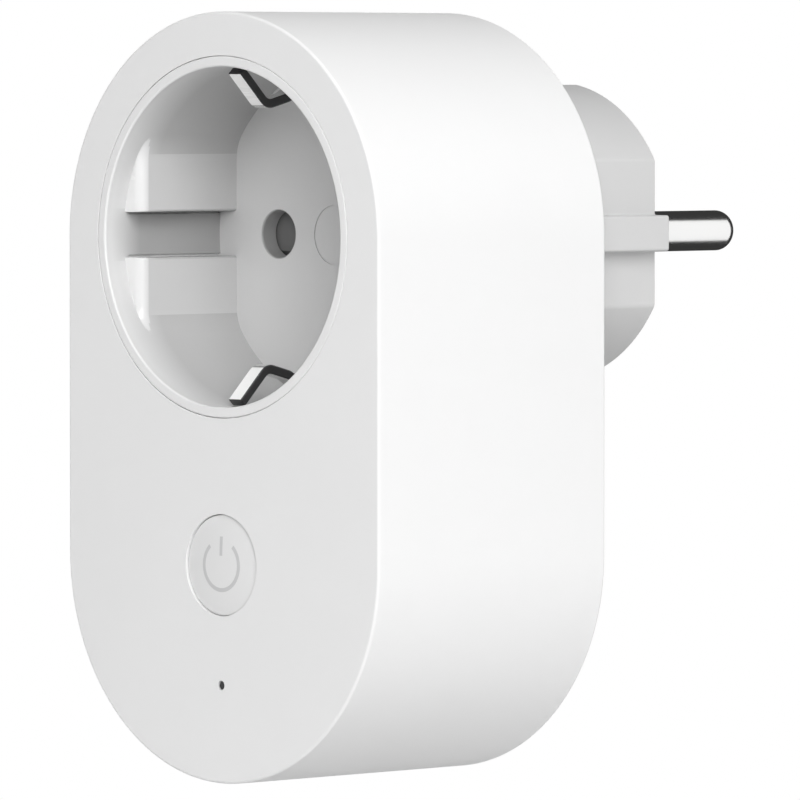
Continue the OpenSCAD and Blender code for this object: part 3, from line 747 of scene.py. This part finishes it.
def make_rear_plate():
    """Back plate with openings for the boss, the earth strips and the four screws."""
    edge, mid_share = 0.25, 0.3
    plate = loft("rear_plate", [stadium(PLATE_R, PLATE_FRONT_Y), stadium(PLATE_R, BACK_Y - edge),
                                stadium(PLATE_R - edge * mid_share, BACK_Y - edge * mid_share),
                                stadium(PLATE_R - edge, BACK_Y)])
    cut_y0, cut_y1 = PLATE_FRONT_Y - OVERSHOOT, BACK_Y + OVERSHOOT
    cut(plate, drill(SPIGOT_R + TOUCH_GAP, cut_y0, cut_y1, n=96))
    strip_lo, strip_hi = low("earth_strip_top"), high("earth_strip_top")
    for side in (-1, 1):
        z0, z1 = sorted((side * (strip_lo.z - TOUCH_GAP), side * (strip_hi.z + TOUCH_GAP)))
        cut(plate, block("cutter", (strip_lo.x - TOUCH_GAP, cut_y0, z0),
                         (strip_hi.x + TOUCH_GAP, cut_y1, z1)))
    well_r, well_y = SCREW_HEAD_R + TOUCH_GAP, high("rear_screws").y - SCREW_HEAD_T
    lip, overlap = 0.2, 0.1
    well = [(0, well_y), (well_r, well_y), (well_r, BACK_Y - lip), (well_r + lip, BACK_Y),
            (well_r + lip, cut_y1), (0, cut_y1)]
    for x, z in REAR_SCREWS:
        cut(plate, lathe("cutter", well, x, z, n=48),
            drill(SCREW_R + TOUCH_GAP, cut_y0, well_y + overlap, x, z, n=32))
    place(plate, "chassis", shell_white, "shell_white", "rear_cover")


def make_pins():
    """Turned pins: tail, collar behind the boss's end wall, neck through it, and the rounded pin."""
    collar_y = -BOSS_END_WALL - PIN_COLLAR_T
    tail_r, tail_edge, shoulder_edge = 1.2, 0.1, 0.08
    for name, x, node in (("pin_left", -PIN_X, "plug_pin_left"), ("pin_right", PIN_X, "plug_pin_right")):
        back_y = low(node).y
        profile = [(0, back_y), (tail_r - tail_edge, back_y), (tail_r, back_y + tail_edge)]
        profile += [(tail_r, collar_y), (PIN_COLLAR_R, collar_y), (PIN_COLLAR_R, -BOSS_END_WALL)]
        profile += [(PIN_NECK_R, -BOSS_END_WALL), (PIN_NECK_R, 0.0), (PIN_R - shoulder_edge, 0.0)]
        profile += [(PIN_R, shoulder_edge), (PIN_R, PIN_TIP_Y - PIN_TIP_R)]
        profile += arc(PIN_R - PIN_TIP_R, PIN_TIP_Y - PIN_TIP_R, PIN_TIP_R, 0, 90, 14)[1:]
        profile += [(0, PIN_TIP_Y)]
        place(lathe(name, profile, x), "chassis", nickel, "nickel", node)


def make_earth_parts():
    """Earth strips in the boss's channels, and the sleeve for the earth contact."""
    for name, node in (("strip_top", "earth_strip_top"), ("strip_bottom", "earth_strip_bottom")):
        place(block(name, low(node), high(node), 0.18), "chassis", nickel, "nickel", node)
    lo, hi = low("earth_sleeve"), high("earth_sleeve")
    bore_r, edge, funnel = 2.45, 0.1, 0.4
    profile = [(bore_r, lo.y), (SLEEVE_R, lo.y), (SLEEVE_R, hi.y - edge), (SLEEVE_R - edge, hi.y),
               (bore_r + funnel, hi.y), (bore_r, hi.y - funnel)]
    tube = lathe("earth_tube", profile, z=SLEEVE_Z, n=64, wrap=True)
    place(tube, "chassis", nickel, "nickel", "earth_sleeve")


# ---------------------------------------------------------------- screws

def make_screw(x, z, top_y, length):
    """Pan screw along Y with a cross recess in its head, which faces +Y."""
    dome, cross_deep, cross_long, cross_thin, cross_over = 0.45, 0.7, 1.0, 0.22, 0.2
    head = [(0, top_y - SCREW_HEAD_T), (SCREW_HEAD_R, top_y - SCREW_HEAD_T), (SCREW_HEAD_R, top_y - dome)]
    head += arc(SCREW_HEAD_R - dome, top_y - dome, dome, 20, 90, 4) + [(0, top_y)]
    screw = lathe("screw", head, x, z, n=40)
    for wide, tall in ((cross_long, cross_thin), (cross_thin, cross_long)):
        cut(screw, block("cutter", (x - wide, top_y - cross_deep, z - tall),
                         (x + wide, top_y + cross_over, z + tall)))
    tip_y = top_y - SCREW_HEAD_T - length
    point, pitch, core_r, crest_r = 0.6, 0.5, 0.78, SCREW_R - 0.02
    turns = int((length - point) / pitch)
    shank = [(0, tip_y)]
    for i in range(turns * 2 + 1):
        shank.append((crest_r if i % 2 else core_r, tip_y + point + (length - point) * i / (turns * 2)))
    shank.append((0, top_y - SCREW_HEAD_T + TOUCH_GAP))
    return [screw, lathe("shank", shank, x, z, n=24)]


def pair_places(node):
    """Centres of two screws, from their group's box."""
    x = high(node).x - SCREW_HEAD_R
    z = (low(node).z + high(node).z) / 2
    return [(-x, z), (x, z)]


def make_screws():
    """Three groups of screws, each one piece."""
    groups = (("cover_screws", "rear_screws", REAR_SCREWS), ("socket_screws", "carrier_screws", None),
              ("board_screws", "pcb_screws", None))
    for name, node, places in groups:
        top_y = high(node).y
        length = top_y - low(node).y - SCREW_HEAD_T
        parts = [p for x, z in places or pair_places(node) for p in make_screw(x, z, top_y, length)]
        place(join(name, parts), "chassis", zinc_steel, "zinc_steel", node)


# ---------------------------------------------------------------- parts on the board

def make_blocks():
    """Moulded and pressed parts on the board: boxes with rounded edges."""
    blocks = (("relay", relay_blue, "relay_blue", 0.5),
              ("x_capacitor", capacitor_yellow, "capacitor_yellow", 0.45),
              ("bridge_rectifier", part_black, "part_black", 0.3),
              ("fuse", fuse_brown, "fuse_brown", 0.5),
              ("wifi_shield", zinc_steel, "zinc_steel", 0.25),
              ("led", led_white, "led_white", 0.12))
    for node, material, slot, edge in blocks:
        place(block(node + "_part", low(node), high(node), edge), "chassis", material, slot, node)


def make_capacitors():
    """Two upright cans with a crimp near the board and a scored vent on top."""
    lo, hi = low("bulk_capacitors"), high("bulk_capacitors")
    r = (hi.z - lo.z) / 2
    edge, crimp_y, crimp_half, crimp_deep = 0.35, lo.y + 1.8, 0.5, 0.35
    score_deep, score_half = 0.15, 0.12
    parts = []
    for x in (lo.x + r, hi.x - r):
        profile = [(0, lo.y), (r - edge, lo.y)] + arc(r - edge, lo.y + edge, edge, -90, 0, 4)[1:]
        profile += [(r, crimp_y - crimp_half), (r - crimp_deep, crimp_y), (r, crimp_y + crimp_half)]
        profile += arc(r - edge, hi.y - edge, edge, 0, 90, 4)
        profile += [(r - 2 * edge, hi.y), (r - 2 * edge, hi.y - score_deep), (0, hi.y - score_deep)]
        can = lathe("can", profile, x, lo.z + r, n=64)
        reach = r - 3 * edge
        for wide, tall in ((reach, score_half), (score_half, reach)):
            cut(can, block("cutter", (x - wide, hi.y - 2 * score_deep, lo.z + r - tall),
                           (x + wide, hi.y + OVERSHOOT, lo.z + r + tall)))
        parts.append(can)
    place(join("capacitor_cans", parts), "chassis", can_black, "part_black", "bulk_capacitors")


def make_choke():
    """Drum core whose winding shows as even ridges between its two flanges."""
    lo, hi = low("choke"), high("choke")
    r, flange_t, wound_r, ridge, turns = (hi.x - lo.x) / 2, 0.8, 2.2, 0.14, 14
    start, end = lo.y + flange_t, hi.y - flange_t
    profile = [(0, lo.y), (r, lo.y), (r, start)]
    profile += [(wound_r - ridge * (1 - i % 2), start + (end - start) * i / (2 * turns))
                for i in range(2 * turns + 1)]
    profile += [(r, end), (r, hi.y), (0, hi.y)]
    choke = lathe("choke_drum", profile, lo.x + r, lo.z + r, n=48)
    place(choke, "chassis", choke_green, "choke_green", "choke")


def make_spring():
    """Coil spring of the shutter, built at one length; the real spring shortens towards its fixed upper end
    as the shutter rises.
    """
    lo, hi = low("shutter_spring"), high("shutter_spring")
    x, y = (lo.x + hi.x) / 2, (lo.y + hi.y) / 2
    wire_r, turns, steps, sides = 0.16, 12, 20, 8
    coil_r = (hi.x - lo.x) / 2 - wire_r
    up = Vector((0, 0, 1))
    rings = []
    for i in range(turns * steps + 1):
        out = Vector((math.cos(2 * math.pi * i / steps), math.sin(2 * math.pi * i / steps), 0))
        z = lo.z + wire_r + (hi.z - lo.z - 2 * wire_r) * i / (turns * steps)
        centre = Vector((x, y, z)) + out * coil_r
        rings.append([tuple(centre + (out * math.cos(a) + up * math.sin(a)) * wire_r)
                      for a in [2 * math.pi * k / sides for k in range(sides)]])
    spring = loft("spring_coil", rings)
    place(spring, "chassis", spring_steel, "spring_steel", "shutter_spring")
    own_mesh(spring)


def make_varistor():
    """Coated disc standing on edge, with a soft rounded rim."""
    lo, hi = low("varistor"), high("varistor")
    r, y, rim, n = (hi.x - lo.x) / 2, (lo.y + hi.y) / 2, 1.3, 64
    outline = [(AXIS_R, lo.z)] + arc(r - rim, lo.z + rim, rim, -90, 0, 8)
    outline += arc(r - rim, hi.z - rim, rim, 0, 90, 8) + [(AXIS_R, hi.z)]
    rings = [[(q * math.cos(2 * math.pi * i / n), y + q * math.sin(2 * math.pi * i / n), z) for i in range(n)]
             for q, z in outline]
    place(loft("varistor_disc", rings), "chassis", disc_blue, "disc_blue", "varistor")


# ---------------------------------------------------------------- studio

# Where the lamps point, in millimetres.
AIM = (0.0, -36.0, -19.0)

WORLD_FILL = 0.26
WORLD_GLOSS = 0.04

FLOOR_DROP = 60
FLOOR_R = 550
FLOOR_HUB_R = 0.5
FLOOR_CENTRE_Y = -36
FLOOR_SIDES = 64
FLOOR_FADE_START = 120
FLOOR_FADE_END = 540

CAMERA_AZIMUTH = 45.353
CAMERA_ELEVATION = 2.175
CAMERA_DISTANCE = 964.3
CAMERA_TARGET = (8.96, FRONT_Y + 20.0, -ARC_DROP / 2 - 0.5)
SENSOR_WIDTH = 36.0
FOCAL_LENGTH = 376.0


def area_light(name, position, size, power, aim=AIM, glossy=True, diffuse=True):
    """Rectangular soft light; position, size and aim in millimetres, power in watts."""
    data = bpy.data.lights.new(name, "AREA")
    data.shape = "RECTANGLE"
    data.size, data.size_y = (s * MM for s in size)
    data.energy = power
    lamp = bpy.data.objects.new(name, data)
    lamp.location = Vector(position) * MM
    lamp.rotation_euler = (Vector(aim) * MM - lamp.location).to_track_quat("-Z", "Y").to_euler()
    lamp.visible_glossy = glossy
    lamp.visible_diffuse = diffuse
    bpy.context.scene.collection.objects.link(lamp)


def fade_out(mat, start, end):
    """Lets a floor fade into the backdrop between two distances from the origin, in millimetres."""
    nodes, links = mat.node_tree.nodes, mat.node_tree.links
    distance = nodes.new("ShaderNodeVectorMath")
    distance.operation = "LENGTH"
    links.new(nodes.new("ShaderNodeTexCoord").outputs["Object"], distance.inputs[0])
    clear = spread(nodes, links, distance.outputs["Value"], 0.0, 1.0, start * MM, end * MM)
    mix = nodes.new("ShaderNodeMixShader")
    links.new(clear, mix.inputs["Fac"])
    links.new(nodes["Principled BSDF"].outputs["BSDF"], mix.inputs[1])
    links.new(nodes.new("ShaderNodeBsdfTransparent").outputs["BSDF"], mix.inputs[2])
    links.new(mix.outputs["Shader"], nodes["Material Output"].inputs["Surface"])
    return mat


def make_floor():
    """Round floor that fades out before its edge."""
    floor_z = low("outer_housing").z - FLOOR_DROP
    n = FLOOR_SIDES
    turns = [2 * math.pi * i / n for i in range(n)]
    rings = [[(r * math.cos(t), r * math.sin(t) + FLOOR_CENTRE_Y, floor_z) for t in turns]
             for r in (FLOOR_HUB_R, FLOOR_R)]
    faces = [[i, (i + 1) % n, n + (i + 1) % n, n + i] for i in range(n)]
    floor = new_object("floor", rings[0] + rings[1], faces + [list(range(n))[::-1]])
    paint = surface("floor_paint", grey(0.88), 0.7, vary=0.004, grain_strength=0.05)
    floor.data.materials.append(fade_out(paint, FLOOR_FADE_START, FLOOR_FADE_END))
    floor.visible_glossy = False


def make_world():
    """White backdrop for the camera, a softer fill for matt surfaces and a dark room for reflections."""
    world = bpy.data.worlds.new("studio")
    world.use_nodes = True
    bpy.context.scene.world = world
    nodes, links = world.node_tree.nodes, world.node_tree.links

    def background(strength):
        """White light of one strength."""
        node = nodes.new("ShaderNodeBackground")
        node.inputs["Color"].default_value = (1, 1, 1, 1)
        node.inputs["Strength"].default_value = strength
        return node.outputs["Background"]

    def choose(ray, otherwise, chosen):
        """Shows chosen to one kind of ray and otherwise to the rest."""
        node = nodes.new("ShaderNodeMixShader")
        links.new(path.outputs[ray], node.inputs["Fac"])
        links.new(otherwise, node.inputs[1])
        links.new(chosen, node.inputs[2])
        return node.outputs["Shader"]

    path = nodes.new("ShaderNodeLightPath")
    room = choose("Is Glossy Ray", background(WORLD_FILL), background(WORLD_GLOSS))
    links.new(choose("Is Camera Ray", room, background(1.0)), nodes["World Output"].inputs["Surface"])


def make_studio():
    """Plain view transform, floor, backdrop and lamps."""
    bpy.context.scene.view_settings.view_transform = "Standard"
    make_floor()
    make_world()
    area_light("key", (560, -430, 300), (420, 520), 4.9)
    area_light("front", (0, -700, 60), (500, 500), 0.8, glossy=False)
    area_light("right_back", (700, 500, 0), (900, 900), 1.3, glossy=False)
    area_light("reflector", (640, 440, 0), (900, 2400), 7.0, diffuse=False)
    area_light("top", (100, 100, 700), (600, 500), 1.1, glossy=False)
    area_light("left_back", (-650, 250, 60), (600, 600), 5.0, glossy=False)


def make_camera():
    """Camera fitted to the object's outlines in the photo."""
    azimuth, elevation = math.radians(CAMERA_AZIMUTH), math.radians(CAMERA_ELEVATION)
    back = Vector((math.sin(azimuth) * math.cos(elevation), -math.cos(azimuth) * math.cos(elevation),
                   math.sin(elevation)))
    data = bpy.data.cameras.new("camera")
    data.sensor_width = SENSOR_WIDTH
    data.lens = FOCAL_LENGTH
    data.clip_start, data.clip_end = 0.05, 20.0
    camera = bpy.data.objects.new("camera", data)
    camera.location = (Vector(CAMERA_TARGET) + back * CAMERA_DISTANCE) * MM
    camera.rotation_euler = (-back).to_track_quat("-Z", "Y").to_euler()
    bpy.context.scene.collection.objects.link(camera)
    bpy.context.scene.camera = camera


# ---------------------------------------------------------------- all of it

make_camera()
make_studio()
make_housing()
make_socket()
make_clip("clip_top", 1, "top_clip", "earth_clip_top")
make_clip("clip_bottom", -1, "bottom_clip", "earth_clip_bottom")
make_button()
make_symbol()
make_light()
make_rear_plate()
make_boss()
make_pins()
make_earth_parts()
make_screws()
make_blocks()
make_capacitors()
make_choke()
make_varistor()
make_spring()

# CAD pieces whose shape is right keep it and get a finished material
CARRIED = {
    "contact_carrier": carrier_grey, "shutter": shutter_grey,
    "earth_bridge": contact_brass, "contact_left": contact_brass, "contact_right": contact_brass,
    "live_link_in": contact_brass, "live_link_out": contact_brass, "neutral_link": contact_brass,
    "switch_body": part_black, "switch_plunger": part_black, "main_pcb": board_green,
    "transformer_core": ferrite, "transformer_coil": tape_yellow, "wifi_pcb": board_blue,
}
for node, material in CARRIED.items():
    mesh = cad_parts[node].data
    mesh.materials.clear()
    mesh.materials.append(material)
